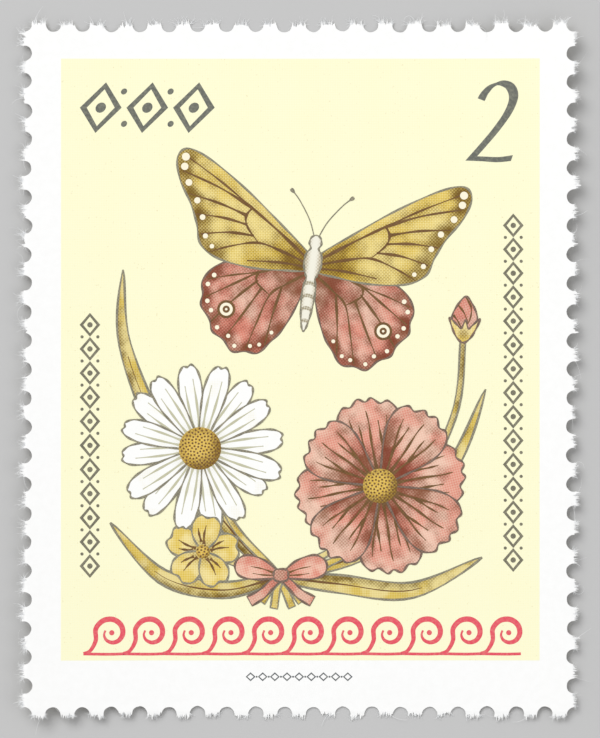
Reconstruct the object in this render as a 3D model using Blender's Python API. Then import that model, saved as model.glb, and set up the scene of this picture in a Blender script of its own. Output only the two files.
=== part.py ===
"""A postage stamp: one sheet of paper with comb perforations torn all round, lying picture side up.

Metres, +Z up, the top of the picture towards +Y. The middle of the sheet lies flat on the surface
and its sides curl gently up, as gummed paper does. The origin is on the underside, in the middle.
"""
import math
import random

import bmesh
import bpy
from mathutils import Matrix, Vector

# Driving dimensions
MM = 0.001
HOLES_IN_20_MM = 14                         # the perforation gauge
PITCH_ACROSS = 20 * MM / HOLES_IN_20_MM
PITCH_DOWN = 1.42 * MM
TEETH_ACROSS = 19
TEETH_DOWN = 24
PIN_RADIUS = 0.38 * MM
PAPER_THICKNESS = 0.1 * MM

# The tear across each tooth, measured outwards from the line of hole centres
TEAR_POINTS = 5
TEAR_LEAN = 0.05 * MM
TEAR_REACH = (-0.05 * MM, 0.09 * MM)
TEAR_ROUGHNESS = 0.035 * MM
TEAR_SEED = 5

# The curl: a flat band through the middle, then an even bend out to both sides
FLAT_HALF_WIDTH = 4 * MM
CURL_RADIUS = 75 * MM
CURL_TURN = math.radians(8)

# Fineness of the solid
BITE_STEPS = 8
STRIP_WIDTH = 2 * MM
STRIP_LENGTH = 4 * MM
SNAP = 0.01 * MM
FLAT_ANGLE = math.radians(0.5)
DRAWING_SCALE = 1000                        # a curve's fill merges points closer than 0.03 mm

SHEET_WIDTH = TEETH_ACROSS * PITCH_ACROSS
SHEET_HEIGHT = TEETH_DOWN * PITCH_DOWN


def clear_scene():
    for item in list(bpy.data.objects):
        bpy.data.objects.remove(item)


def tear(draw):
    """One tooth's torn tip: how far it reaches past the hole centres at evenly spaced points."""
    reach = draw.uniform(*TEAR_REACH)
    lean = draw.uniform(-TEAR_LEAN, TEAR_LEAN)
    steps = [step / (TEAR_POINTS - 1) for step in range(TEAR_POINTS)]
    return [reach + lean * (2 * step - 1) + draw.uniform(-TEAR_ROUGHNESS, TEAR_ROUGHNESS) for step in steps]


def bite(centre, along, inward, from_reach, to_reach, at_corner):
    """The round edge that a perforating pin left, from the tip of one tooth to the tip of the next."""
    first = math.pi + math.asin(from_reach / PIN_RADIUS)
    last = (math.pi / 2 if at_corner else 0) - math.asin(to_reach / PIN_RADIUS)
    angles = [first + (last - first) * step / BITE_STEPS for step in range(BITE_STEPS + 1)]
    return [centre + PIN_RADIUS * (math.cos(a) * along + math.sin(a) * inward) for a in angles]


def tip(hole, along, inward, pitch, reaches):
    """The inner points of a torn tip, between its two corners, which the bites already hold."""
    points = []
    for step in range(1, TEAR_POINTS - 1):
        share = step / (TEAR_POINTS - 1)
        place = PIN_RADIUS + (pitch - 2 * PIN_RADIUS) * share
        points.append(hole + place * along - reaches[step] * inward)
    return points


def sheet_outline():
    """The whole edge, anticlockwise from the bottom left corner, as points in the plane."""
    draw = random.Random(TEAR_SEED)
    right, up = Vector((1, 0)), Vector((0, 1))
    sides = [(right, up, TEETH_ACROSS, PITCH_ACROSS), (up, -right, TEETH_DOWN, PITCH_DOWN),
             (-right, -up, TEETH_ACROSS, PITCH_ACROSS), (-up, right, TEETH_DOWN, PITCH_DOWN)]
    teeth = []
    hole = Vector((-SHEET_WIDTH / 2, -SHEET_HEIGHT / 2))
    for along, inward, count, pitch in sides:
        for number in range(count):
            teeth.append((hole.copy(), along, inward, pitch, tear(draw), number == count - 1))
            hole += pitch * along
    points = []
    for index, (hole, along, inward, pitch, reaches, last_on_side) in enumerate(teeth):
        following = teeth[(index + 1) % len(teeth)][4]
        points += tip(hole, along, inward, pitch, reaches)
        points += bite(hole + pitch * along, along, inward, reaches[-1], following[0], last_on_side)
    return points


def flat_sheet(name, collection):
    """The outline filled and given the paper's thickness, as one closed mesh on the surface."""
    points = sheet_outline()
    curve = bpy.data.curves.new(name + "_outline", "CURVE")
    curve.dimensions = "2D"
    curve.fill_mode = "BOTH"
    curve.extrude = PAPER_THICKNESS / 2 * DRAWING_SCALE
    edge = curve.splines.new("POLY")
    edge.points.add(len(points) - 1)
    edge.use_cyclic_u = True
    for point, place in zip(edge.points, points):
        point.co = (place.x * DRAWING_SCALE, place.y * DRAWING_SCALE, 0, 1)
    drawing = bpy.data.objects.new(name + "_drawing", curve)
    collection.objects.link(drawing)
    bpy.context.view_layer.update()
    evaluated = drawing.evaluated_get(bpy.context.evaluated_depsgraph_get())
    mesh = bpy.data.meshes.new_from_object(evaluated)
    mesh.name = name
    bpy.data.objects.remove(drawing)
    mesh.transform(Matrix.Scale(1 / DRAWING_SCALE, 4))
    mesh.transform(Matrix.Translation((0, 0, PAPER_THICKNESS / 2)))
    return mesh


def cut_into_strips(shape, direction, reach, width):
    """Extra edges across the sheet, so that it can bend between them."""
    count = math.ceil(reach / width)
    for step in range(-count, count + 1):
        everything = shape.verts[:] + shape.edges[:] + shape.faces[:]
        bmesh.ops.bisect_plane(shape, geom=everything, dist=SNAP, plane_co=direction * step * width,
                               plane_no=direction)


def lift(place):
    """How far the curled paper stands off the surface at a point of the sheet."""
    across = place.x * math.cos(CURL_TURN) + place.y * math.sin(CURL_TURN)
    past_flat = max(0, abs(across) - FLAT_HALF_WIDTH)
    return past_flat ** 2 / (2 * CURL_RADIUS)


def curl(mesh):
    """Bends the flat sheet and puts the middle of its box over the origin."""
    shape = bmesh.new()
    shape.from_mesh(mesh)
    bmesh.ops.remove_doubles(shape, verts=shape.verts, dist=SNAP / 10)
    bmesh.ops.dissolve_limit(shape, angle_limit=FLAT_ANGLE, verts=shape.verts, edges=shape.edges,
                             delimit={"NORMAL"})
    across = Vector((math.cos(CURL_TURN), math.sin(CURL_TURN), 0))
    down = Vector((-across.y, across.x, 0))
    cut_into_strips(shape, across, SHEET_HEIGHT / 2, STRIP_WIDTH)
    cut_into_strips(shape, down, SHEET_HEIGHT / 2, STRIP_LENGTH)
    bmesh.ops.triangulate(shape, faces=shape.faces)
    for vertex in shape.verts:
        vertex.co.z += lift(vertex.co)
    for axis in (0, 1):
        places = [vertex.co[axis] for vertex in shape.verts]
        middle = (min(places) + max(places)) / 2
        for vertex in shape.verts:
            vertex.co[axis] -= middle
    bmesh.ops.recalc_face_normals(shape, faces=shape.faces)
    shape.to_mesh(mesh)
    shape.free()


def paper_material():
    """Uncoated white stamp paper."""
    material = bpy.data.materials.new("stamp_paper")
    material.use_nodes = True
    surface = material.node_tree.nodes["Principled BSDF"]
    surface.inputs["Base Color"].default_value = (0.93, 0.93, 0.92, 1)
    surface.inputs["Roughness"].default_value = 0.75
    surface.inputs["Metallic"].default_value = 0
    return material


def build():
    clear_scene()
    collection = bpy.data.collections.new("postage_stamp")
    bpy.context.scene.collection.children.link(collection)
    mesh = flat_sheet("stamp_sheet", collection)
    curl(mesh)
    mesh.materials.append(paper_material())
    collection.objects.link(bpy.data.objects.new("stamp_sheet", mesh))


build()
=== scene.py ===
import math
import random

import bpy
from mathutils import Matrix, Vector
from mathutils.kdtree import KDTree


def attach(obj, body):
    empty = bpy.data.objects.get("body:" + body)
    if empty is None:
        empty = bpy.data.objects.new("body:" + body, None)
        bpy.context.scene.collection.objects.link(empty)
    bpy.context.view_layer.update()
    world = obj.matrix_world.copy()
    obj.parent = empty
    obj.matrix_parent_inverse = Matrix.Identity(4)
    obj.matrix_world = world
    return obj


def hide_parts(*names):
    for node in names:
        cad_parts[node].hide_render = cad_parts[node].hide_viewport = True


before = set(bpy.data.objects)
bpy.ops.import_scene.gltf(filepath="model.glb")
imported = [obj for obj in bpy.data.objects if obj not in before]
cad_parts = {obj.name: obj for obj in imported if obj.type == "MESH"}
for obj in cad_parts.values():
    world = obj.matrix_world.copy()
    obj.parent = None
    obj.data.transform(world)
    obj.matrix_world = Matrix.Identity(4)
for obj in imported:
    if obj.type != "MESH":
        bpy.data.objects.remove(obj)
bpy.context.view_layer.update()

# The sheet, in millimetres, which is what everything is drawn in until it is laid on the paper
HOLES_IN_20_MM = 14
PITCH_ACROSS = 20 / HOLES_IN_20_MM
PITCH_DOWN = 1.42
TEETH_ACROSS = 19
TEETH_DOWN = 24
SHEET_WIDTH = TEETH_ACROSS * PITCH_ACROSS
SHEET_HEIGHT = TEETH_DOWN * PITCH_DOWN
PIN_RADIUS = 0.38
PAPER_THICKNESS = 0.1
METRES = 0.001

# The tear across each tooth, as in the solid, and the finer raggedness that only shows here
TEAR_POINTS = 5
TEAR_LEAN = 0.05
TEAR_REACH = (-0.05, 0.09)
TEAR_ROUGHNESS = 0.035
TEAR_SEED = 5
FINE_TEAR_STEPS = 6
FINE_TEAR_ROUGHNESS = 0.04
TUFT_CHANCE, TUFT_REACH = 0.32, (0.05, 0.24)
NOTCH_CHANCE, NOTCH_DEPTH = 0.16, (0.04, 0.12)
FINE_TEAR_SEED = 11
BITE_STEPS = 22
BITE_ROUGHNESS, BITE_LOBES, BITE_GRAIN = 0.005, 5, 0.4
PIN_STRAY = 0.014
BITE_CLEARANCE = 0.004
TIP_FEATHER, TIP_FADE = 0.16, 1.4
TIP_THICKNESS = 0.3

# The curl, in strips that are narrow enough to look round
FLAT_HALF_WIDTH = 4
CURL_RADIUS = 75
CURL_TURN = math.radians(8)
CURL_WAY = Vector((math.cos(CURL_TURN), math.sin(CURL_TURN), 0))
STRIP = 0.6

# Loose fibres on the torn tips: how many, how far they stray from straight out, and their shape
TUFTS_A_TOOTH, TUFT_TURN, TUFT_SPREAD, TUFT_ROOT = 8, 0.7, 0.025, 0.1
FIBRES_A_TUFT, FIBRE_TURN, FIBRE_BEND, FIBRE_STEPS = 9, 0.3, 0.9, 3
FIBRE_LENGTH, SHORTEST_SHARE = (0.14, 0.56), 0.5
STRAYS_A_TOOTH, STRAY_TURN, STRAY_BEND, STRAY_STEPS = 0.8, 1.0, 2.2, 9
STRAY_LENGTH, STRAY_ROOT = (0.5, 1.2), 0.08
FIBRE_RADIUS, FIBRE_TAPER = (0.004, 0.011), 0.7
FIBRE_HEIGHT, FIBRE_CLIMB = (0.015, 0.08), 0.12
FIBRE_SEED = 23

# The print
PANEL = [(-11.76, -14.37), (11.87, -14.37), (11.87, 15.35), (-11.76, 15.35)]
LAYER = 0.003
LINE_HEIGHT = 0.0015
SINK = 0.01
PEN, PEN_WAVER, PEN_WAVE_STEP = 0.05, 0.3, 0.7
PEN_SEED = 3
DOT_PITCH, DOT_DEPTH = 0.119, 0.6
INK_ROUGHNESS = 0.5
GREENERY_LEVEL, BUTTERFLY_LEVEL, FLOWER_LEVEL = 1, 1, 7

# Directions, how fine the meshes are, and how near two points are when they are taken as one
TAU = math.tau
ACROSS, UP = Vector((1, 0, 0)), Vector((0, 1, 0))
CURVE_STEPS = 8
LOCATED_CELL = 0.25
MERGE, SHEET_MERGE = 0.0002, 0.0005
SIDE_SLACK = 0.001
EDGE_FACING = 0.5
FLAT_ANGLE = math.radians(0.5)
SMOOTH_ANGLE = math.radians(30)

# The picture that the camera takes
PHOTO_SIZE = (600, 738)
PIXELS_A_MM = 20.24
SHEET_MIDDLE_IN_PHOTO = (299.15, 369.45)
LENS = 560
SENSOR = 36


def srgb(red, green, blue):
    """A colour as it looks on white paper, 0 to 255, as the linear colour that a shader takes."""
    channels = [channel / 255 for channel in (red, green, blue)]
    return (*[c / 12.92 if c <= 0.04045 else ((c + 0.055) / 1.055) ** 2.4 for c in channels], 1)


# The paper, its gum, the cream that shows through thin ink, and the floor
PAPER_WHITE, PAPER_SHADE = (0.9, 0.9, 0.895, 1), (0.885, 0.885, 0.878, 1)
TORN_SHADE, FIBRE_SHADE = (0.8, 0.81, 0.82, 1), (0.82, 0.84, 0.86, 1)
THIN_GUM, THICK_GUM, CRAZED_GUM = srgb(249, 246, 232), srgb(243, 237, 217), srgb(240, 234, 214)
GUM_RIDGE_PITCH, GUM_CRAZING = 1.5, 0.4
TINT = srgb(255, 253, 217)
FLOOR_SHADE, FLOOR_PALE = (0.5, 0.5, 0.5, 1), (0.52, 0.52, 0.52, 1)

# The screened inks, in pairs: what each does to the colour under it, and the angle of its dots in degrees
GOLD_SCREENS = (srgb(228, 207, 88), 0), (srgb(126, 105, 26), 45)
ROSE_SCREENS = (srgb(232, 154, 146), 15), (srgb(146, 112, 84), 45)
CREAM_SCREENS = (srgb(255, 251, 236), 0), (srgb(240, 232, 222), 45)
DAISY_SCREENS = (srgb(214, 212, 184), 45), (srgb(248, 243, 218), 0)
BODY_SCREENS = (srgb(176, 158, 128), 45), (srgb(126, 105, 26), 75)


class Value:
    """A shader socket that Python's operators work on: each one adds the Math node that does it."""

    def __init__(self, finish, socket):
        self.finish = finish
        self.socket = socket

    def maths(self, operation, *others):
        inputs = dict(enumerate((self, *others)))
        return self.finish.node("ShaderNodeMath", {"operation": operation}, inputs)

    def __add__(self, other):
        return self.maths("ADD", other)

    def __sub__(self, other):
        return self.maths("SUBTRACT", other)

    def __mul__(self, other):
        return self.maths("MULTIPLY", other)

    def __truediv__(self, other):
        return self.maths("DIVIDE", other)

    def __rsub__(self, other):
        return self.finish.node("ShaderNodeMath", {"operation": "SUBTRACT"}, {0: other, 1: self})

    __radd__ = __add__
    __rmul__ = __mul__

    def between(self, start, end):
        """0 at start and 1 at end, smoothly, whichever is the higher."""
        inputs = {"Value": self, "From Min": start, "From Max": end}
        return self.finish.node("ShaderNodeMapRange", {"interpolation_type": "SMOOTHSTEP"}, inputs)


def distance(across, up):
    """How long a step across and up is."""
    return (across * across + up * up).maths("SQRT")


class Finish:
    """A material being made: its nodes, and the places on the piece that its pattern follows."""

    def __init__(self, name, roughness=INK_ROUGHNESS):
        self.material = bpy.data.materials.new(name)
        self.material.use_nodes = True
        self.tree = self.material.node_tree
        self.surface = self.tree.nodes["Principled BSDF"]
        self.surface.inputs["Roughness"].default_value = roughness
        self.surface.inputs["Specular IOR Level"].default_value = 0.2
        self.place = self.node("ShaderNodeTexCoord", {}, {}, "Object")
        self.across, self.up = (part / METRES for part in self.parts(self.place))

    def node(self, kind, settings, inputs, output=0):
        """One new node: its settings, the value or link of each socket, and the output that is used."""
        node = self.tree.nodes.new(kind)
        for name, setting in settings.items():
            setattr(node, name, setting)
        for socket, value in inputs.items():
            if isinstance(value, Value):
                self.tree.links.new(value.socket, node.inputs[socket])
            else:
                node.inputs[socket].default_value = value
        return Value(self, node.outputs[output])

    def parts(self, place):
        """The first two parts of a place, as two values."""
        first = self.node("ShaderNodeSeparateXYZ", {}, {0: place})
        return first, Value(self, first.socket.node.outputs[1])

    def away_from(self, across, up):
        """How far each place is from a point of the sheet, in millimetres."""
        return distance(self.across - across, self.up - up)

    def noise(self, size, detail=2):
        """Smooth random blotches of a size in millimetres, about 0.5."""
        inputs = {"Vector": self.place, "Scale": 1 / (size * METRES), "Detail": detail}
        return self.node("ShaderNodeTexNoise", {}, inputs)

    def mix(self, share, first, second, blend="MIX"):
        settings = {"data_type": "RGBA", "blend_type": blend}
        return self.node("ShaderNodeMix", settings, {0: share, 6: first, 7: second}, 2)

    def dots(self, tone, degrees, depth=DOT_DEPTH):
        """The printer's screen for one ink: the share of the paper that it covers, in soft round dots."""
        turn = math.radians(degrees)
        along, aside = math.cos(turn) * TAU / DOT_PITCH, math.sin(turn) * TAU / DOT_PITCH
        rows = self.across * along + self.up * aside
        lines = self.up * along - self.across * aside
        spot = (rows.maths("COSINE") + lines.maths("COSINE")) * 0.5
        share = tone.between(0.1, 1.3)
        covered = share + spot * share * (1 - share) * (2 * depth)
        return self.node("ShaderNodeClamp", {}, {0: covered})

    def bump(self, height, relief):
        """Unevenness from a height, given how far in millimetres a height of 1 stands up."""
        bumped = self.node("ShaderNodeBump", {}, {"Height": height, "Distance": relief * METRES})
        self.tree.links.new(bumped.socket, self.surface.inputs["Normal"])

    def coloured(self, colour):
        self.tree.links.new(colour.socket, self.surface.inputs["Base Color"])
        return self.material


def drawn_finish(name):
    """A finish, and the places of its piece's own drawing, which the UV map holds, as two values."""
    finish = Finish(name)
    return finish, *finish.parts(finish.node("ShaderNodeUVMap", {"uv_map": "drawing"}, {}))


def ink(finish, colour, mottle):
    """A printed colour takes the paper's own white, a faint mottle and the paper's grain."""
    worn = finish.mix(finish.noise(0.22, 3).between(0.3, 0.8) * mottle, colour, PAPER_WHITE)
    finish.bump(finish.noise(0.06), 0.0012)
    return finish.coloured(finish.mix(1.0, worn, PAPER_WHITE, "MULTIPLY"))


def plain_ink(name, colour):
    """Solid ink of one colour, a little uneven as it takes to the paper."""
    finish = Finish(name)
    thin = finish.noise(0.13, 3).between(0.35, 0.75) * 0.11
    return ink(finish, finish.mix(thin, colour, TINT), 0.02)


def drawn_ink(name, colour, ground):
    """The ink of a drawn line, whose dots let a little of the ground show."""
    finish = Finish(name)
    tone = finish.noise(0.3).between(0.3, 0.7) * 0.35 + 0.6
    return ink(finish, finish.mix(finish.dots(tone, 45, 0.9), ground, colour), 0.02)


def screened(finish, colour, screens, *tones, depth=DOT_DEPTH):
    """A pair of inks printed over a colour, each through its screen and with its own tone."""
    for (screen_colour, degrees), tone in zip(screens, tones):
        colour = finish.mix(finish.dots(tone, degrees, depth), colour, screen_colour, "MULTIPLY")
    return ink(finish, colour, 0.015)


def activate(piece):
    bpy.ops.object.select_all(action="DESELECT")
    piece.select_set(True)
    bpy.context.view_layer.objects.active = piece


def meshed(name, lines, **settings):
    """Lines drawn with a curve's settings, as a mesh that is being edited, all of it selected."""
    curve = bpy.data.curves.new(name, "CURVE")
    for setting, value in settings.items():
        setattr(curve, setting, value)
    for path, closed, half_widths in lines:
        spline = curve.splines.new("POLY")
        spline.points.add(len(path) - 1)
        spline.use_cyclic_u = closed
        for number, (point, place) in enumerate(zip(spline.points, path)):
            point.co = (*place, 1) if len(place) == 3 else (*place, 0, 1)
            point.radius = half_widths[number] if half_widths else 1
    piece = bpy.data.objects.new(name, curve)
    bpy.context.scene.collection.objects.link(piece)
    activate(piece)
    bpy.ops.object.convert(target="MESH")
    bpy.ops.object.mode_set(mode="EDIT")
    bpy.ops.mesh.select_all(action="SELECT")
    return piece


def cut(place, direction, merge=MERGE):
    """Edges where a plane crosses what is being edited."""
    bpy.ops.mesh.select_all(action="SELECT")
    bpy.ops.mesh.bisect(plane_co=place, plane_no=direction, threshold=merge)


def slab(name, outlines, half_depth, merge, cuts):
    """Closed outlines filled and given a depth, with edges where each plane of the cuts crosses them."""
    edges = [(outline, True, None) for outline in outlines]
    piece = meshed(name, edges, dimensions="2D", fill_mode="BOTH", extrude=half_depth)
    bpy.ops.mesh.remove_doubles(threshold=merge)
    bpy.ops.mesh.dissolve_limited(angle_limit=FLAT_ANGLE)
    for place, direction in cuts:
        cut(place, direction, merge)
    bpy.ops.mesh.select_all(action="SELECT")
    bpy.ops.mesh.quads_convert_to_tris()
    bpy.ops.object.mode_set(mode="OBJECT")
    return piece


def strands(name, lines, twist):
    """Lines as closed four-sided tubes, which are as wide at each point as it says."""
    piece = meshed(name, lines, dimensions="3D", twist_mode=twist, bevel_depth=1, bevel_resolution=0,
                   use_fill_caps=True)
    bpy.ops.mesh.remove_doubles(threshold=MERGE)
    bpy.ops.object.mode_set(mode="OBJECT")
    return piece


def placed(piece, matrices):
    """A shape copied to each of its places, each copy with a mesh of its own. The first one is used up."""
    copies = []
    for matrix in matrices:
        copy = piece.copy()
        copy.data = piece.data.copy()
        bpy.context.scene.collection.objects.link(copy)
        copy.data.transform(matrix)
        copies.append(copy)
    bpy.data.objects.remove(piece)
    return copies


def lift(place):
    """How far the curled paper stands off the surface at a place."""
    strips = max(0, abs(place.x * CURL_WAY.x + place.y * CURL_WAY.y) - FLAT_HALF_WIDTH) / STRIP
    share = strips % 1
    low, high = ((math.floor(strips) + step) * STRIP for step in (0, 1))
    return (low ** 2 * (1 - share) + high ** 2 * share) / (2 * CURL_RADIUS)


def lifted(piece):
    for vertex in piece.data.vertices:
        vertex.co.z += lift(vertex.co)


def curled(piece):
    """Cuts a piece along the strips of the curl and lifts it with them, so that ink stays on paper."""
    reaches = [vertex.co.dot(CURL_WAY) for vertex in piece.data.vertices]
    activate(piece)
    bpy.ops.object.mode_set(mode="EDIT")
    for way, reach in ((CURL_WAY, max(reaches)), (-CURL_WAY, -min(reaches))):
        for number in range(math.ceil((reach - FLAT_HALF_WIDTH) / STRIP)):
            cut(way * (FLAT_HALF_WIDTH + number * STRIP), way)
    bpy.ops.mesh.select_all(action="SELECT")
    bpy.ops.mesh.quads_convert_to_tris()
    bpy.ops.mesh.normals_make_consistent(inside=False)
    bpy.ops.object.mode_set(mode="OBJECT")
    lifted(piece)


def finished(piece, material):
    """Hands a piece over: in metres, shaded, on the one body."""
    piece.data.transform(Matrix.Scale(METRES, 4))
    piece.data.materials.clear()
    piece.data.materials.append(material)
    activate(piece)
    bpy.ops.object.shade_smooth_by_angle(angle=SMOOTH_ANGLE)
    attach(piece, "root")


# The paper

def tear(draw):
    """One tooth's torn tip: how far it reaches past the hole centres at evenly spaced points."""
    reach = draw.uniform(*TEAR_REACH)
    lean = draw.uniform(-TEAR_LEAN, TEAR_LEAN)
    steps = [step / (TEAR_POINTS - 1) for step in range(TEAR_POINTS)]
    return [reach + lean * (2 * step - 1) + draw.uniform(-TEAR_ROUGHNESS, TEAR_ROUGHNESS) for step in steps]


def all_teeth():
    """Every tooth, anticlockwise from the bottom left corner: its hole, directions, pitch and tear."""
    draw = random.Random(TEAR_SEED)
    right, up = ACROSS.xy, UP.xy
    teeth = []
    hole = Vector((-SHEET_WIDTH / 2, -SHEET_HEIGHT / 2))
    for along, inward in ((right, up), (up, -right), (-right, -up), (-up, right)):
        count, pitch = (TEETH_ACROSS, PITCH_ACROSS) if along.x else (TEETH_DOWN, PITCH_DOWN)
        for number in range(count):
            teeth.append((hole.copy(), along, inward, pitch, tear(draw), number == count - 1))
            hole += pitch * along
    return teeth


def bite(draw, centre, along, inward, from_reach, to_reach, at_corner):
    """The round edge that a perforating pin left, a little off its place and a little rough."""
    first = math.pi + math.asin(from_reach / PIN_RADIUS)
    last = (math.pi / 2 if at_corner else 0) - math.asin(to_reach / PIN_RADIUS)
    centre = centre + Vector((draw.gauss(0, PIN_STRAY), draw.gauss(0, PIN_STRAY)))
    wobble = draw.uniform(0, TAU)
    points = []
    for step in range(BITE_STEPS + 1):
        angle = first + (last - first) * step / BITE_STEPS
        unevenness = math.sin(BITE_LOBES * angle + wobble) + draw.gauss(0, BITE_GRAIN)
        radius = PIN_RADIUS + BITE_ROUGHNESS * unevenness
        points.append(centre + radius * (math.cos(angle) * along + math.sin(angle) * inward))
    return points


def tip_place(tooth, share):
    """A place on a tooth's torn tip, at a share of the way along it."""
    hole, along, inward, pitch, reaches, _ = tooth
    step = min(int(share * (TEAR_POINTS - 1)), TEAR_POINTS - 2)
    part = share * (TEAR_POINTS - 1) - step
    reach = reaches[step] * (1 - part) + reaches[step + 1] * part
    return hole + (PIN_RADIUS + (pitch - 2 * PIN_RADIUS) * share) * along - reach * inward


def sheet_outline(teeth):
    """The sheet's whole edge, with each tear's fine raggedness kept clear of the round bites beside it."""
    draw = random.Random(FINE_TEAR_SEED)
    fine_steps = (TEAR_POINTS - 1) * FINE_TEAR_STEPS
    tips, bites = [], []
    for index, tooth in enumerate(teeth):
        hole, along, inward, pitch, reaches, at_corner = tooth
        tip = []
        for step in range(1, fine_steps):
            ragged = draw.uniform(-FINE_TEAR_ROUGHNESS, FINE_TEAR_ROUGHNESS)
            if draw.random() < TUFT_CHANCE:
                ragged += draw.uniform(*TUFT_REACH)
            elif draw.random() < NOTCH_CHANCE:
                ragged -= draw.uniform(*NOTCH_DEPTH)
            tip.append(tip_place(tooth, step / fine_steps) - ragged * inward)
        tips.append(tip)
        following = teeth[(index + 1) % len(teeth)][4]
        bites.append(bite(draw, hole + pitch * along, along, inward, reaches[-1], following[0], at_corner))
    points = []
    for index, tip in enumerate(tips):
        along = teeth[index][1]
        start = max(point.dot(along) for point in bites[index - 1]) + BITE_CLEARANCE
        end = min(point.dot(along) for point in bites[index]) - BITE_CLEARANCE
        points += [point for point in tip if start < point.dot(along) < end]
        points += bites[index]
    return points


def thin_torn_tips(piece):
    """Torn paper gets thinner towards its ragged edge."""
    for vertex in piece.data.vertices:
        beyond = max(abs(vertex.co.x) - SHEET_WIDTH / 2, abs(vertex.co.y) - SHEET_HEIGHT / 2) + TIP_FEATHER
        share = min(max(beyond / (TIP_FEATHER * TIP_FADE), 0), 1)
        vertex.co.z *= 1 - (1 - TIP_THICKNESS) * share


def paper_sheet(teeth):
    """The sheet with its round bites and torn tips, its printed side, its edges and its gummed back."""
    cuts = [(direction * side * (half - TIP_FEATHER), direction)
            for direction, half in ((ACROSS, SHEET_WIDTH / 2), (UP, SHEET_HEIGHT / 2)) for side in (-1, 1)]
    piece = slab("paper_sheet", [sheet_outline(teeth)], PAPER_THICKNESS / 2, SHEET_MERGE, cuts)
    thin_torn_tips(piece)
    piece.data.transform(Matrix.Translation((0, 0, PAPER_THICKNESS / 2)))
    curled(piece)
    finished(piece, bare_paper("paper_face", PAPER_SHADE, 0.62, fibres=0.35, grain=0.09, relief=0.004))
    torn = bare_paper("torn_edge", TORN_SHADE, 0.85, fibres=0.05, grain=0.03, relief=0.012, detail=3)
    piece.data.materials.append(torn)
    piece.data.materials.append(gummed_back())
    for polygon in piece.data.polygons:
        facing = polygon.normal.z
        polygon.material_index = 0 if facing >= EDGE_FACING else 2 if facing <= -EDGE_FACING else 1
    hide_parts("stamp_sheet")


def bare_paper(name, shade, roughness, fibres, grain, relief, detail=4):
    """Paper with no ink on it: the size of its fibres and its grain, and how far the grain stands up."""
    finish = Finish(name, roughness)
    finish.bump(finish.noise(grain, detail), relief)
    return finish.coloured(finish.mix(finish.noise(fibres, detail).between(0.3, 0.7), PAPER_WHITE, shade))


def gummed_back():
    """Dry gum: yellowish and shiny, rolled in faint ridges so that paper lies flat, and finely crazed."""
    finish = Finish("gummed_back", 0.3)
    finish.surface.inputs["Specular IOR Level"].default_value = 0.5
    finish.surface.inputs["Coat Weight"].default_value = 0.3
    cells = finish.node("ShaderNodeTexVoronoi", {"feature": "DISTANCE_TO_EDGE"},
                        {"Vector": finish.place, "Scale": 1 / (GUM_CRAZING * METRES)})
    crazed = cells.between(0.0, 0.05)
    wander = finish.noise(4.0) * 2
    ridges = (finish.up * (TAU / GUM_RIDGE_PITCH) + wander).maths("SINE") * 0.5 + 0.5
    blotches = finish.noise(3.5, 4).between(0.3, 0.7)
    gum = finish.mix(blotches * 0.7 + ridges * 0.3, THIN_GUM, THICK_GUM)
    finish.bump(ridges * 0.7 + crazed * 0.15 + finish.noise(0.5, 3) * 0.15, 0.012)
    return finish.coloured(finish.mix(crazed, CRAZED_GUM, gum))


def fibre(draw, start, heading, length, bend, steps):
    """One loose fibre, which wanders off in its own plane, near the surface."""
    climb = draw.gauss(0, FIBRE_CLIMB)
    height = draw.uniform(*FIBRE_HEIGHT)
    radius = draw.uniform(*FIBRE_RADIUS)
    path, half_widths = [], []
    for step in range(steps + 1):
        share = step / steps
        path.append((start.x, start.y, max(height + climb * length * share, radius)))
        half_widths.append(radius * (1 - FIBRE_TAPER * share))
        heading += bend / steps
        start = start + Vector((math.cos(heading), math.sin(heading))) * length / steps
    return path, False, half_widths


def fluff(inward):
    """How long the fluff is on a side, as a share: the left and the top were torn the most roughly."""
    return 0.82 + 0.2 * inward.x - 0.12 * inward.y


def torn_fibres(teeth):
    """The fluff of broken fibres on every torn tip, in tufts, and the long strays among them."""
    draw = random.Random(FIBRE_SEED)
    lines = []
    for tooth in teeth:
        inward = tooth[2]
        outward = math.atan2(-inward.y, -inward.x)
        fibres = []
        for _ in range(TUFTS_A_TOOTH):
            root = tip_place(tooth, draw.random())
            heading = outward + draw.gauss(0, TUFT_TURN)
            for _ in range(FIBRES_A_TUFT):
                spread = Vector((draw.gauss(0, TUFT_SPREAD), draw.gauss(0, TUFT_SPREAD)))
                start = root + spread + draw.uniform(0, TUFT_ROOT) * inward
                length = draw.uniform(*FIBRE_LENGTH) * draw.uniform(SHORTEST_SHARE, 1) * fluff(inward)
                turned = heading + draw.gauss(0, FIBRE_TURN)
                fibres.append((start, turned, length, draw.gauss(0, FIBRE_BEND), FIBRE_STEPS))
        for _ in range(int(STRAYS_A_TOOTH + draw.random())):
            start = tip_place(tooth, draw.random()) + STRAY_ROOT * inward
            heading = outward + draw.gauss(0, STRAY_TURN)
            length = draw.uniform(*STRAY_LENGTH)
            fibres.append((start, heading, length, draw.gauss(0, STRAY_BEND), STRAY_STEPS))
        lines += [fibre(draw, *one) for one in fibres]
    piece = strands("torn_fibres", lines, "MINIMUM")
    lifted(piece)
    finish = Finish("loose_fibre", 0.7)
    finished(piece, finish.coloured(finish.mix(finish.noise(0.2), PAPER_WHITE, FIBRE_SHADE)))


# The drawing board: flat shapes in millimetres, before they are laid on the paper

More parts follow.
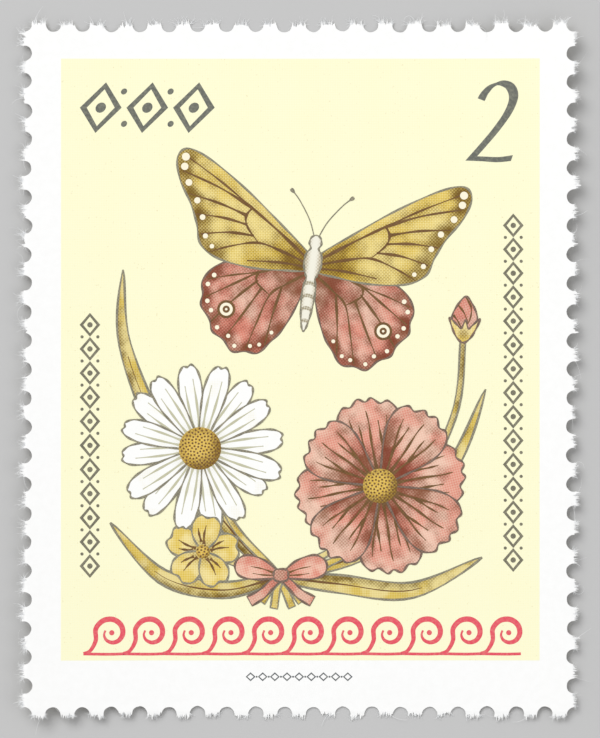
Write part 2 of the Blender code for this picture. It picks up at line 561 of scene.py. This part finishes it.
def smooth_path(corners, closed=False):
    """A smooth path through a few points, in short even steps."""
    corners = [Vector(corner) for corner in corners]
    count = len(corners)

    def corner(number):
        return corners[number % count if closed else min(max(number, 0), count - 1)]

    path = []
    for index in range(count if closed else count - 1):
        before, start, end, after = (corner(index + shift) for shift in (-1, 0, 1, 2))
        for step in range(CURVE_STEPS):
            t = step / CURVE_STEPS
            path.append(0.5 * (2 * start + (end - before) * t
                               + (2 * before - 5 * start + 4 * end - after) * t ** 2
                               + (3 * start - before - 3 * end + after) * t ** 3))
    return path if closed else path + [corners[-1]]


def sideways(path, index):
    """The direction to the left of a path at one of its points."""
    ahead = path[min(index + 1, len(path) - 1)] - path[max(index - 1, 0)]
    return Vector((-ahead.y, ahead.x)).normalized()


def ribbon(path, half_width_at):
    """The closed outline of a band along a path, its half width given for each share of the way."""
    last = len(path) - 1
    sides = [sideways(path, index) * half_width_at(index / last) for index in range(last + 1)]
    left = [point + side for point, side in zip(path, sides)]
    right = [point - side for point, side in zip(path, sides)]
    return left + right[::-1]


def nearest_in(points):
    """What finds, for any place, the nearest of some points, its number and how far it is."""
    tree = KDTree(len(points))
    for index, point in enumerate(points):
        tree.insert((*point, 0), index)
    tree.balance()
    return lambda place: tree.find((place.x, place.y, 0))


def along_path(path):
    """For each place on a band: how far along it is, as a share, and how far off its middle, in mm."""
    find = nearest_in(path)

    def locate(place):
        nearest, index, _ = find(place)
        return index / (len(path) - 1), (place.xy - nearest.xy).dot(sideways(path, index))

    return locate


def from_lines(*groups):
    """For each place on a wing: how far it is from each group of points, its border's and its veins'."""
    finds = [nearest_in(points) for points in groups]
    return lambda place: [find(place)[2] for find in finds]


def film(outlines, locate=None):
    """Closed outlines filled with ink. Where a finish asks how far things are, it is cut into cells."""
    cells = []
    for axis, direction in enumerate((ACROSS, UP) if locate else ()):
        reaches = [place[axis] / LOCATED_CELL for outline in outlines for place in outline]
        for number in range(math.ceil(min(reaches)), math.floor(max(reaches)) + 1):
            cells.append((direction * number * LOCATED_CELL, direction))
    piece = slab("film", outlines, 1, MERGE, cells)
    for vertex in piece.data.vertices:
        vertex.co.z = min(vertex.co.z, 0)
    drawing = piece.data.uv_layers.new(name="drawing")
    for loop in piece.data.loops:
        place = piece.data.vertices[loop.vertex_index].co
        drawing.data[loop.index].uv = locate(place) if locate else place.xy
    return piece


def strokes(lines):
    """Pen lines pressed flat: each has a low ridge, and its keel reaches down into the paper."""
    piece = strands("strokes", lines, "Z_UP")
    for vertex in piece.data.vertices:
        height = vertex.co.z
        vertex.co.z = LINE_HEIGHT if height > SIDE_SLACK else -1 if height < -SIDE_SLACK else 0
    piece.data.uv_layers.new(name="drawing")
    return piece


def pen(draw, path, closed=False, half_width=PEN, taper=0):
    """One line of a hand-held pen: its width wavers, and it thins towards its end by the taper."""
    last = len(path) - 1
    wave = draw.uniform(0, TAU)
    half_widths = [half_width * (1 + PEN_WAVER * math.sin(wave + index * PEN_WAVE_STEP))
                   * (1 - taper * index / last) for index in range(last + 1)]
    return path, closed, half_widths


def inked(outline, places, locate=None):
    """A filled shape at each of its places."""
    return placed(film([outline], locate), places)


def edged(draw, outline, places, half_width=PEN):
    """The pen line round a shape, at each of its places."""
    return placed(strokes([pen(draw, outline, True, half_width)]), places)


def creased(draw, lines, places, half_width, taper):
    """The fine lines on a shape, at each of its places."""
    return placed(strokes([pen(draw, smooth_path(line), False, half_width, taper) for line in lines]), places)


def broad_pen(path, degrees, wide, narrow):
    """Both sides of a line from a broad pen, held at an angle: thin along its edge and thick across it."""
    edge = Vector((math.cos(math.radians(degrees)), math.sin(math.radians(degrees))))
    left, right = [], []
    for index, point in enumerate(path):
        side = sideways(path, index)
        side *= narrow + (wide - narrow) * abs(side.dot(edge))
        left.append(point + side)
        right.append(point - side)
    return left, right


def disc(radius, corners):
    return [Vector((radius * math.cos(TAU * n / corners), radius * math.sin(TAU * n / corners)))
            for n in range(corners)]


def at(across, up, degrees=0, size=1, level=0, mirrored=False):
    """Where a drawn shape goes on the panel, and how many layers of ink lie under it."""
    flip = -1 if mirrored else 1
    return (Matrix.Translation((across, up, level * LAYER)) @ Matrix.Rotation(math.radians(degrees), 4, "Z")
            @ Matrix.Diagonal((flip * size, size, 1, 1)))


def leaning(degrees):
    """A slant to the right."""
    lean = Matrix.Identity(4)
    lean[0][1] = math.tan(math.radians(degrees))
    return lean


def printed(name, shapes, material):
    """Lays shapes of one ink on the paper, as one piece. Their undersides all sink a little into it."""
    piece = shapes[0]
    activate(piece)
    for shape in shapes:
        shape.select_set(True)
    bpy.ops.object.join()
    piece.name = name
    for vertex in piece.data.vertices:
        height = vertex.co.z
        vertex.co.z = height + PAPER_THICKNESS + LAYER if height >= 0 else PAPER_THICKNESS - SINK
    curled(piece)
    finished(piece, material)


# The panel and the ornaments in its margins

def tint_panel():
    """The cream ground of the picture, whose screen hardly shows."""
    finish = Finish("cream_tint")
    cream = 0.5 + finish.noise(1.6, 3) * 0.16
    specks = finish.noise(0.12, 1).between(0.66, 0.8) * 0.9
    cream_tint = screened(finish, srgb(255, 254, 220), CREAM_SCREENS, cream, specks)
    printed("tint_panel", [film([[Vector(corner) for corner in PANEL]])], cream_tint)


# A chain's link: half its width, half its height, and half the width of its line
TOP_LINK, SIDE_LINK = (0.86, 1.08, 0.17), (0.42, 0.5, 0.09)
MIDDLE_DOT, GAP_DOT, GAP_DOT_OUT = 1.5, 0.9, 0.93


def lozenge(half_across, half_up, half_width):
    corners = ((half_across, 0), (0, half_up), (-half_across, 0), (0, -half_up))
    return strokes([([Vector(corner) for corner in corners], True, [half_width] * 4)])


def lozenge_chain(name, material, start, end, link, links, slant=0):
    """A chain of outlined lozenges with a dot in each, and small dots between them."""
    half_across, half_up, half_width = link
    step = (Vector(end) - Vector(start)) / links
    aside = Vector((-step.y, step.x)).normalized() * GAP_DOT_OUT * min(half_across, half_up)
    middles = [Vector(start) + step * (number + 0.5) for number in range(links)]
    gaps = [Vector(start) + step * number + side for number in range(1, links) for side in (aside, -aside)]
    middles, gaps = ([at(*place, level=1) @ leaning(slant) for place in row] for row in (middles, gaps))
    shapes = placed(lozenge(*link), middles)
    shapes += inked(disc(half_width * MIDDLE_DOT, 16), middles) + inked(disc(half_width * GAP_DOT, 12), gaps)
    printed(name, shapes, material)


NUMERAL_BOWL = [
    (0.16, 3.12), (0.3, 3.46), (0.58, 3.78), (0.98, 3.93), (1.4, 3.82), (1.67, 3.5), (1.74, 3.06),
    (1.56, 2.42), (1.12, 1.62), (0.6, 0.86), (0.28, 0.42), (0.02, 0.06), (-0.16, -0.2)
]
NUMERAL_FOOT_TOP = [(0.8, 0.31), (1.5, 0.29), (2.16, 0.38)]
NUMERAL_FOOT_BOTTOM = [(2.11, 0.09), (1.45, 0.03), (0.7, 0.08)]


def value_numeral(material):
    """A plain number where a stamp gives its value, written with a broad pen and level at its foot."""
    outer, inner = broad_pen(smooth_path(NUMERAL_BOWL), 20, 0.23, 0.07)
    top, bottom = smooth_path(NUMERAL_FOOT_TOP), smooth_path(NUMERAL_FOOT_BOTTOM)
    outline = [point for point in outer if point.y > top[0].y] + top
    outline += bottom + [point for point in inner if point.y > bottom[-1].y][::-1]
    printed("value_numeral", inked(outline, [at(8.33, 10.2, level=1) @ leaning(9)]), material)


def wave_scroll(material):
    """A running wave along the foot of the panel."""
    units, pitch, left, foot_up = 11, 1.96, -10.23, -14.1
    turns = [math.radians(205 - 41 * step) for step in range(11)]
    curl = [Vector((0.95, 1.08)) + (0.84 - 0.053 * step) * Vector((math.cos(turn), math.sin(turn)))
            for step, turn in enumerate(turns)]
    crest = smooth_path([(-0.42, 0.08), (-0.08, 0.22), *curl])
    foot = smooth_path([(-0.42, 0.06), (0.8, 0.04), (pitch - 0.38, 0.06)])
    last = len(crest) - 1
    swell = [0.05 + 0.085 * math.sin(math.pi * min(0.06 + index / last, 1)) for index in range(last + 1)]
    unit = strokes([(crest, False, swell), (foot, False, [0.07] * len(foot))])
    places = [at(left + number * pitch, foot_up, level=1) for number in range(units)]
    shapes = placed(unit, places)
    shapes += inked(disc(0.13, 14), [place @ Matrix.Translation((0.98, 1.1, 0)) for place in places])
    printed("wave_scroll", shapes, material)


def foot_beads(material):
    """A row of tiny lozenges and dots on the white margin under the panel."""
    count, pitch, up = 9, 0.6, -15.18

    def row(size):
        return [at((number - (size - 1) / 2) * pitch, up) for number in range(size)]

    beads = placed(lozenge(0.2, 0.18, 0.042), row(count)) + inked(disc(0.05, 10), row(count - 1))
    printed("foot_beads", beads, material)


# The butterfly, drawn upright with its right wings, then copied, mirrored and turned
FORE_WING = [
    (0.2, 0.95), (1.9, 2.35), (4, 3.95), (6.2, 5.35), (7.6, 5.85), (8.15, 5.3), (7.85, 4.1), (7.1, 2.9),
    (6.6, 1.8), (6.25, 0.75), (5.2, 0.1), (3.3, -0.15), (1.5, -0.05), (0.2, 0.15)
]
FORE_BORDER = (4, 10)
HIND_WING = [
    (0.15, 0.4), (1.9, 0.45), (3.8, 0.3), (5.2, -0.3), (5.85, -1.2), (5.75, -1.9), (5.75, -2.6), (5.2, -3.25),
    (4.95, -3.9), (4.25, -4.3), (3.75, -4.85), (3, -4.75), (2.3, -4.75), (1.75, -4.1), (1.15, -3.3),
    (0.6, -2), (0.2, -0.6)
]
HIND_BORDER = (3, 14)
FORE_VEINS = [
    [(0.3, 0.75), (1.9, 1.9), (3.7, 3.1), (5.6, 4.3), (7.6, 5.4)], [(3.7, 3.1), (5.6, 3.95), (7.75, 4.6)],
    [(3.95, 2.65), (5.5, 3.1), (7.25, 3.4)], [(3.85, 2.15), (5.2, 2.35), (6.7, 2.35)],
    [(3.4, 1.6), (4.8, 1.6), (6.3, 1.3)], [(0.3, 0.5), (1.7, 0.95), (3.1, 1.25), (4.5, 0.9), (5.7, 0.4)],
    [(3.7, 3.1), (3.98, 2.6), (3.8, 2), (3.1, 1.25)], [(0.3, 0.3), (1.8, 0.35), (3.6, 0.2)]
]
HIND_VEINS = [
    [(0.3, 0.15), (1.6, 0.05), (2.9, -0.35), (4.3, -0.7), (5.6, -1.1)],
    [(2.9, -0.35), (4.2, -1.2), (5.6, -2.1)], [(2.85, -0.8), (4, -2), (5.1, -3.4)],
    [(2.6, -1.2), (3.4, -2.7), (4.2, -4.1)], [(0.3, -0.1), (1.3, -0.8), (2.1, -1.5), (2.6, -3.1), (3, -4.6)],
    [(1.5, -1), (1.8, -2.6), (2, -4.3)], [(2.9, -0.35), (2.9, -0.9), (2.1, -1.5)]
]
HIND_VEIN, FORE_VEIN = 0.075, 0.085
EYESPOT, EYESPOT_RINGS = Vector((4.35, -2.6)), (0.5, 0.36, 0.2, 0.07)
BODY_SIDE = [
    (0, 2.1), (0.26, 1.95), (0.33, 1.62), (0.22, 1.36), (0.42, 1.05), (0.48, 0.5), (0.34, -0.05),
    (0.24, -0.3), (0.35, -0.8), (0.34, -1.6), (0.25, -2.4), (0.12, -3), (0, -3.2)
]
FEELER = [(0.12, 2), (0.5, 2.9), (1.2, 3.9), (1.75, 4.45)]
BUTTERFLY_PLACE, BUTTERFLY_TURN, BUTTERFLY_SIZE = (0.6, 4.75), -8, 0.9


def fore_wing_print():
    finish, border, vein = drawn_finish("fore_wing_print")
    root = finish.away_from(*BUTTERFLY_PLACE)
    gold = 0.42 + finish.noise(1.5).between(0.35, 0.68) * 0.36 + root.between(4.0, 0.5) * 0.4
    umber = (border.between(1.1, 0.35) * 0.55 + root.between(3.6, 0.4) * 0.5
             + vein.between(0.4, 0.05) * 0.2 + finish.noise(0.8, 3).between(0.36, 0.72) * 0.3 + 0.24)
    return screened(finish, srgb(250, 232, 158), GOLD_SCREENS, gold, umber, depth=0.75)


def hind_wing_print():
    finish, border, vein = drawn_finish("hind_wing_print")
    root = finish.away_from(*BUTTERFLY_PLACE)
    rose = 0.42 + finish.noise(1.3).between(0.36, 0.66) * 0.4 + border.between(2.4, 1.0) * 0.2
    mauve = (border.between(0.8, 0.25) * 0.55 + root.between(3.2, 0.6) * 0.55
             + vein.between(0.4, 0.05) * 0.25 + finish.noise(0.8, 3).between(0.36, 0.68) * 0.45 + 0.26)
    return screened(finish, srgb(247, 212, 190), ROSE_SCREENS, rose, mauve)


def body_print():
    finish, aside, up = drawn_finish("body_print")
    shade = aside.maths("ABSOLUTE").between(0.05, 0.42) * 0.7 + 0.15
    rings = (up * 9 + aside * aside * 12).maths("SINE").between(0.1, 0.9) * up.between(0.2, -0.3) * 0.75
    return screened(finish, srgb(246, 243, 228), BODY_SCREENS, shade, rings)


def evenly(path, count):
    """The numbers of the points that stand in the middle of each of so many even lengths of a path."""
    lengths = [0]
    for start, end in zip(path, path[1:]):
        lengths.append(lengths[-1] + (end - start).length)
    goals = [lengths[-1] * (number + 0.5) / count for number in range(count)]
    return [min(range(len(path)), key=lambda index: abs(lengths[index] - goal)) for goal in goals]


def border_spots(border, inset, count, radius, shrink):
    """A row of round spots that follows a wing's border, inside it."""
    outlines = []
    for number, index in enumerate(evenly(border, count)):
        middle = border[index] + sideways(border, index) * inset
        outlines.append([middle + point for point in disc(radius * (1 - shrink * number / count), 16)])
    return film(outlines)


def butterfly(draw, grey, dusky, brown, pale):
    """An insect of no one kind, resting with its wings open."""

    def on_both(above):
        return [at(*BUTTERFLY_PLACE, BUTTERFLY_TURN, BUTTERFLY_SIZE, BUTTERFLY_LEVEL + above, mirrored)
                for mirrored in (False, True)]

    def wing(name, corners, border, veins, half_width, above, edge_ink, wing_print):
        outline = smooth_path(corners, True)
        border = outline[border[0] * CURVE_STEPS:border[1] * CURVE_STEPS]
        far = from_lines(border, [point for vein in veins for point in smooth_path(vein)])
        places = on_both(above)
        printed(name + "s", inked(outline, places, far), wing_print)
        printed(name + "_veins", creased(draw, veins, places, half_width, taper=0.6), brown)
        printed(name + "_edges", edged(draw, outline, places), edge_ink)
        return border

    hind = wing("hind_wing", HIND_WING, HIND_BORDER, HIND_VEINS, HIND_VEIN, 0, dusky, hind_wing_print())
    fore = wing("fore_wing", FORE_WING, FORE_BORDER, FORE_VEINS, FORE_VEIN, 1, grey, fore_wing_print())
    rings = [[EYESPOT + point for point in disc(radius, 20)] for radius in EYESPOT_RINGS]
    printed("eyespot_darks", inked(rings[0], on_both(1)) + inked(rings[2], on_both(3)), brown)
    fore_spots = border_spots(fore, inset=-0.4, count=7, radius=0.22, shrink=0.5)
    hind_spots = border_spots(hind, inset=-0.34, count=10, radius=0.13, shrink=0.2)
    printed("wing_spots", placed(fore_spots, on_both(2)) + placed(hind_spots, on_both(1))
            + inked(rings[1], on_both(2)) + inked(rings[3], on_both(4)), pale)
    body = smooth_path(BODY_SIDE + [(-x, y) for x, y in BODY_SIDE[-2:0:-1]], True)
    place = on_both(3)[:1]
    printed("butterfly_body", inked(body, place), body_print())
    feelers = [smooth_path([(side * x, y) for x, y in FEELER]) for side in (-1, 1)]
    last = len(feelers[0]) - 1
    ends = [min(max((index / last - 0.83) / 0.2, 0), 1) for index in range(last + 1)]
    clubbed = [0.032 + 0.08 * math.sin(math.pi * end) for end in ends]
    lines = [pen(draw, body, True)] + [(path, False, clubbed) for path in feelers]
    printed("butterfly_body_lines", placed(strokes(lines), place), grey)


# The flowers, each drawn as one petal that is copied round
DAISY_PETAL = [
    (0.5, -0.16), (1.6, -0.42), (2.8, -0.58), (3.7, -0.5), (4.15, -0.22), (4.12, 0.02), (4.2, 0.26),
    (3.75, 0.52), (2.8, 0.58), (1.6, 0.42), (0.5, 0.16)
]
DAISY_CREASES = [[(0.9, 0.12), (2.2, 0.2), (3.5, 0.2)], [(0.9, -0.12), (2.1, -0.22), (3.2, -0.25)]]
COSMOS_PETAL = [
    (0.4, -0.2), (1.4, -0.85), (2.7, -1.5), (3.7, -1.6), (4.3, -1.2), (4.25, -0.75), (4.6, -0.35), (4.45, 0),
    (4.65, 0.4), (4.3, 0.8), (4.3, 1.25), (3.7, 1.6), (2.7, 1.5), (1.4, 0.85), (0.4, 0.2)
]
COSMOS_CREASES = [
    [(0.7, 0), (2, 0.05), (3.3, 0), (4, 0.05)], [(0.8, 0.15), (1.9, 0.5), (2.9, 0.85), (3.7, 1)],
    [(0.8, -0.15), (1.9, -0.5), (2.9, -0.85), (3.6, -1)], [(1.9, 0.5), (2.7, 0.5), (3.3, 0.55)],
    [(1.9, -0.5), (2.7, -0.5), (3.4, -0.5)]
]
COSMOS_CREASE_LEAN = 0.28
CUP_PETAL = [
    (0.1, -0.12), (0.7, -0.62), (1.4, -0.78), (1.85, -0.45), (1.8, 0), (1.9, 0.4), (1.4, 0.75), (0.7, 0.62),
    (0.1, 0.12)
]
CUP_CREASES = [[(0.4, 0), (0.9, 0.05), (1.4, 0)], [(0.5, 0.15), (0.9, 0.32), (1.2, 0.4)]]
PETAL_TURN, PETAL_STRAY, PETAL_SIZES = 8, 3, (0.95, 1.04)
SEED_RADIUS, SEEDS_REACH = 0.052, 0.94

# Each flower's middle, petal, creases, number of petals, size, eye's radius and number of seeds
FLOWERS = {
    "cosmos": ((4, -5.75), COSMOS_PETAL, COSMOS_CREASES, 8, 0.93, 0.85, 70),
    "daisy": ((-4.9, -3.9), DAISY_PETAL, DAISY_CREASES, 16, 0.96, 1.05, 110),
    "cup_flower": ((-4.75, -9), CUP_PETAL, CUP_CREASES, 5, 0.95, 0.34, 12)
}


def flower(draw, name, petal_print, edge_ink, crease_ink, seed_ink):
    """A ring of petals, every other one on top, with their edges and creases, and the eye over them."""
    middle, petal, creases, count, size, eye_radius, seeds = FLOWERS[name]
    places = []
    for number in range(count):
        row = 2 if count % 2 and number == count - 1 else number % 2
        turn = PETAL_TURN + 360 * number / count + draw.uniform(-PETAL_STRAY, PETAL_STRAY)
        flipped = Matrix.Diagonal((1, draw.choice((-1, 1)), 1, 1))
        petal_size = size * draw.uniform(*PETAL_SIZES)
        places.append(at(*middle, turn, petal_size, FLOWER_LEVEL + row) @ flipped)
    outline = smooth_path(petal, True)
    printed(name + "_petals", inked(outline, places), petal_print)
    printed(name + "_edges", edged(draw, outline, places), edge_ink)
    printed(name + "_creases", creased(draw, creases, places, half_width=0.08, taper=0.7), crease_ink)
    flower_eye(name, middle, eye_radius, seeds, FLOWER_LEVEL + 2 + count % 2, seed_ink)


def flower_eye(name, middle, radius, seed_count, level, seed_ink):
    """The round eye of a flower, with tiny seeds packed in a spiral."""
    finish, across, up = drawn_finish(name + "_eye_print")
    gold = 0.55 + finish.noise(0.5) * 0.4
    umber = (distance(across, up).between(radius * 0.2, radius) * 0.6
             + (across - up).between(-0.4, 0.9) * 0.4)
    eye_print = screened(finish, srgb(240, 212, 128), GOLD_SCREENS, gold, umber)
    printed(name + "_eye", inked(disc(radius, 32), [at(*middle, level=level)]), eye_print)
    golden = math.pi * (3 - math.sqrt(5))
    places = []
    for number in range(seed_count):
        out = SEEDS_REACH * radius * math.sqrt((number + 0.5) / seed_count)
        turn = number * golden
        places.append(at(middle[0] + out * math.cos(turn), middle[1] + out * math.sin(turn), level=level + 1))
    printed(name + "_seeds", inked(disc(SEED_RADIUS, 8), places), seed_ink)


def daisy_print():
    finish, along, aside = drawn_finish("daisy_print")
    shade = along.between(2.6, 0.6) * 0.55 + aside.maths("ABSOLUTE").between(0.25, 0.62) * 0.25
    warm = finish.noise(0.9, 3).between(0.42, 0.7) * 0.5
    return screened(finish, srgb(255, 255, 254), DAISY_SCREENS, shade, warm)


def cosmos_print():
    finish, along, aside = drawn_finish("cosmos_print")
    rose = 0.4 + finish.noise(1.4).between(0.36, 0.66) * 0.42 + along.between(3.2, 1.0) * 0.25
    edge = (aside.maths("ABSOLUTE") - along * 0.42).between(-0.6, 0.0)
    fan = (aside / along * (TAU / COSMOS_CREASE_LEAN)).maths("COSINE").between(0.3, 1.0)
    mauve = (along.between(3.2, 0.6) * 0.5 + edge * 0.3 + fan * along.between(4.2, 2.6) * 0.28
             + finish.noise(0.8, 3).between(0.36, 0.68) * 0.45 + 0.2)
    return screened(finish, srgb(248, 214, 192), ROSE_SCREENS, rose, mauve)


def bloom_print(name, base, screens, deep):
    """A small bloom: blotched with its first ink, and dark within a distance of its root."""
    finish, across, up = drawn_finish(name)
    blotches = 0.45 + finish.noise(0.9).between(0.35, 0.65) * 0.45
    dark = (distance(across, up).between(deep, 0.1) * 0.6 + up.maths("ABSOLUTE").between(0.2, 0.9) * 0.3
            + 0.1)
    return screened(finish, base, screens, blotches, dark)


def cup_print():
    return bloom_print("cup_print", srgb(250, 234, 170), GOLD_SCREENS, deep=1.3)


# The blades and stems, from where they are gathered and tied
BLADES = [
    ([(-1.1, -10.3), (-3.3, -8), (-6.6, -3.6), (-8.6, 1.2), (-8.7, 4.9)], 0.42),
    ([(-0.6, -10.3), (2, -10.6), (5.6, -10.9), (9, -9.3)], 0.46),
    ([(-1.2, -10.3), (-3.8, -10.9), (-6.8, -10.2), (-9.3, -7.6)], 0.42),
    ([(-0.5, -10.2), (3.6, -8.8), (7.4, -5), (9.2, -1)], 0.36)
]
STEMS = [
    [(-4.9, -3.9), (-3.3, -7.6), (-1.2, -10), (-0.35, -11.75)],
    [(4, -5.7), (1.9, -8.7), (-0.7, -10.1), (-1.25, -11.8)],
    [(-4.7, -9), (-2.8, -9.7), (-0.9, -10.3), (0.1, -11.5)],
    [(8.1, 1.5), (7.6, -2.4), (5, -7.2), (1.2, -9.7), (-0.9, -10.3), (-1.85, -11.5)]
]


def blade_print():
    finish, share, aside = drawn_finish("blade_print")
    gold = 0.4 + finish.noise(1.1).between(0.4, 0.65) * 0.5
    umber = (aside.between(-0.1, 0.35) * 0.55 + share.between(0.5, 0.0) * 0.45
             + finish.noise(0.7, 3).between(0.42, 0.7) * 0.4 + 0.12)
    return screened(finish, srgb(240, 224, 158), GOLD_SCREENS, gold, umber)


def belly(share):
    """How wide a blade is along its way: narrow at its root, full in the middle, and then pointed."""
    return math.sin(math.pi * min(0.12 + share * 0.88, 0.995)) ** 0.8


def greenery(draw, grey, brown):
    """Narrow blades with a rib, and plain stems."""
    films, edges, ribs = [], [], []

    def band(path, half_width_at, level, edge_width):
        outline = ribbon(path, half_width_at)
        place = [at(0, 0, level=level)]
        films.extend(inked(outline, place, along_path(path)))
        edges.extend(edged(draw, outline, place, edge_width))
        return place

    for number, (corners, half_width) in enumerate(BLADES):
        path = smooth_path(corners)
        place = band(path, lambda share: half_width * belly(share), GREENERY_LEVEL + number, PEN)
        ribs += placed(strokes([pen(draw, path[:len(path) * 3 // 4], False, 0.06, 0.7)]), place)
    for number, corners in enumerate(STEMS):
        level = GREENERY_LEVEL + len(BLADES) + number % 2
        band(smooth_path(corners), lambda share: 0.13 + 0.05 * share, level, 0.042)
    printed("blades_and_stems", films, blade_print())
    printed("blade_edges", edges, grey)
    printed("blade_ribs", ribs, brown)


BOW = (-0.9, -10.15)
BOW_LOOP = [(0.1, 0.12), (0.8, 0.72), (1.7, 0.98), (2.25, 0.6), (2.1, 0), (1.3, -0.22), (0.1, -0.12)]
BOW_FOLDS = [[(0.3, 0.08), (0.9, 0.3), (1.5, 0.42)], [(0.3, -0.02), (0.9, 0), (1.4, 0.08)]]
BOW_TAIL = [(0.05, -0.1), (0.5, -0.5), (0.95, -0.95), (1.55, -1.3)]
BOW_KNOT = [(-0.26, 0.26), (0.26, 0.26), (0.36, 0), (0.26, -0.28), (-0.26, -0.28), (-0.36, 0)]


def bow(draw, dusky, brown):
    """The ribbon that ties the bunch."""
    rose = bloom_print("ribbon_print", srgb(246, 206, 184), ROSE_SCREENS, deep=1.3)
    tail = ribbon(smooth_path(BOW_TAIL), lambda share: 0.16 + 0.1 * share)
    under, over, top = ([at(*BOW, level=FLOWER_LEVEL + above, mirrored=side) for side in (False, True)]
                        for above in range(3))
    parts = ((tail, under), (smooth_path(BOW_LOOP, True), over), (smooth_path(BOW_KNOT, True), top[:1]))
    printed("bow", [shape for part in parts for shape in inked(*part)], rose)
    lines = [edged(draw, outline, places) for outline, places in parts]
    printed("bow_edges", [line for group in lines for line in group], dusky)
    printed("bow_folds", creased(draw, BOW_FOLDS, over, half_width=0.05, taper=0.7), brown)


BUD = [
    (0, -0.1), (-0.5, 0.2), (-0.66, 0.85), (-0.4, 1.5), (0, 1.95), (0.4, 1.5), (0.66, 0.85), (0.5, 0.2)
]
BUD_FOLDS = [
    [(0, 1.9), (0.3, 1.4), (0.28, 0.8), (0, 0.2)], [(-0.4, 1.5), (-0.05, 1.1), (0.2, 0.55)],
    [(-0.6, 0.95), (-0.35, 0.65), (-0.1, 0.25)]
]
BUD_CUP = [
    (0, -0.45), (0.35, -0.2), (0.62, 0.3), (0.8, 0.85), (0.45, 0.5), (0.22, 0.3), (0.06, 0.72), (-0.14, 0.3),
    (-0.42, 0.5), (-0.78, 0.8), (-0.62, 0.3), (-0.35, -0.2)
]


def bud(draw, dusky, brown):
    """A bud that is still shut, on the tallest stem."""
    place, cup_place = ([at(8.12, 1.75, -4, 0.95, FLOWER_LEVEL + above)] for above in (0, 1))
    outline, cup = smooth_path(BUD, True), smooth_path(BUD_CUP, True)
    rose = bloom_print("bud_print", srgb(247, 208, 188), ROSE_SCREENS, deep=1.2)
    printed("bud", inked(outline, place), rose)
    gold = bloom_print("bud_cup_print", srgb(248, 232, 172), GOLD_SCREENS, deep=0.5)
    printed("bud_cup", inked(cup, cup_place), gold)
    printed("bud_edges", edged(draw, outline, place) + edged(draw, cup, cup_place), dusky)
    printed("bud_folds", creased(draw, BUD_FOLDS, place, half_width=0.055, taper=0.6), brown)


# The stage
FLOOR_SIZE, FLOOR_GAP = 2, 0.00002


def stage():
    bpy.ops.mesh.primitive_plane_add(size=FLOOR_SIZE)
    floor = bpy.context.object
    floor.name = "floor"
    floor.data.transform(Matrix.Translation((0, 0, -FLOOR_GAP)))
    finish = Finish("floor", 0.7)
    floor.data.materials.append(finish.coloured(finish.mix(finish.noise(40), FLOOR_SHADE, FLOOR_PALE)))


def lamp(name, energy, size, place):
    """A square soft box that looks at the sheet."""
    turn = (-Vector(place)).to_track_quat("-Z", "Y").to_euler()
    bpy.ops.object.light_add(type="AREA", radius=size, location=place, rotation=turn)
    bpy.context.object.name = name
    bpy.context.object.data.energy = energy


def lights():
    lamp("key_light", energy=2.25, size=0.35, place=(-0.22, 0.28, 0.5))
    lamp("fill_light", energy=0.72, size=0.5, place=(0.35, -0.15, 0.55))
    world = bpy.data.worlds.new("studio")
    world.use_nodes = True
    glow = world.node_tree.nodes["Background"].inputs
    glow["Color"].default_value = (1, 1, 1, 1)
    glow["Strength"].default_value = 0.55
    bpy.context.scene.world = world
    bpy.context.scene.view_settings.view_transform = "Standard"


def camera():
    """Straight above, far off on a long lens, as a flat scan sees it."""
    right, down = ((size / 2 - middle) / PIXELS_A_MM * METRES
                   for size, middle in zip(PHOTO_SIZE, SHEET_MIDDLE_IN_PHOTO))
    view_height = PHOTO_SIZE[1] / PIXELS_A_MM * METRES
    place = (right, -down, view_height * LENS / SENSOR)
    bpy.ops.object.camera_add(location=place, rotation=(0, 0, 0))
    bpy.context.scene.camera = bpy.context.object
    bpy.context.object.name = "camera"
    bpy.context.object.data.lens = LENS
    bpy.context.object.data.sensor_width = SENSOR


teeth = all_teeth()
paper_sheet(teeth)
torn_fibres(teeth)

# The inks: each colour, and for a drawn one the ground that shows between its dots
grey = plain_ink("grey_ink", srgb(103, 105, 98))
cool_grey = plain_ink("cool_grey_ink", srgb(92, 97, 103))
coral = plain_ink("coral_ink", srgb(232, 80, 98))
pale = plain_ink("pale_ink", srgb(255, 247, 222))
shade = plain_ink("shade_ink", srgb(196, 194, 166))
side_grey = drawn_ink("side_ink", srgb(108, 105, 90), srgb(146, 141, 120))
line = drawn_ink("line_ink", srgb(120, 117, 102), srgb(168, 160, 136))
dusky = drawn_ink("dusky_ink", srgb(104, 86, 76), srgb(146, 120, 104))
brown = drawn_ink("brown_ink", srgb(104, 72, 36), srgb(132, 97, 54))

# The print, from the paper up
tint_panel()
lozenge_chain("top_lozenges", grey, (-10.95, 12.93), (-4.05, 12.93), TOP_LINK, links=3, slant=12)
lozenge_chain("left_lozenges", side_grey, (-10.33, 2.8), (-10.33, -10.3), SIDE_LINK, links=11)
lozenge_chain("right_lozenges", side_grey, (10.57, 7.7), (10.57, -10), SIDE_LINK, links=15)
value_numeral(grey)
wave_scroll(coral)
foot_beads(cool_grey)
pen_draw = random.Random(PEN_SEED)
greenery(pen_draw, line, brown)
flower(pen_draw, "cosmos", cosmos_print(), dusky, brown, brown)
flower(pen_draw, "daisy", daisy_print(), line, shade, brown)
flower(pen_draw, "cup_flower", cup_print(), line, brown, brown)
bow(pen_draw, dusky, brown)
bud(pen_draw, dusky, brown)
butterfly(pen_draw, line, dusky, brown, pale)
stage()
lights()
camera()
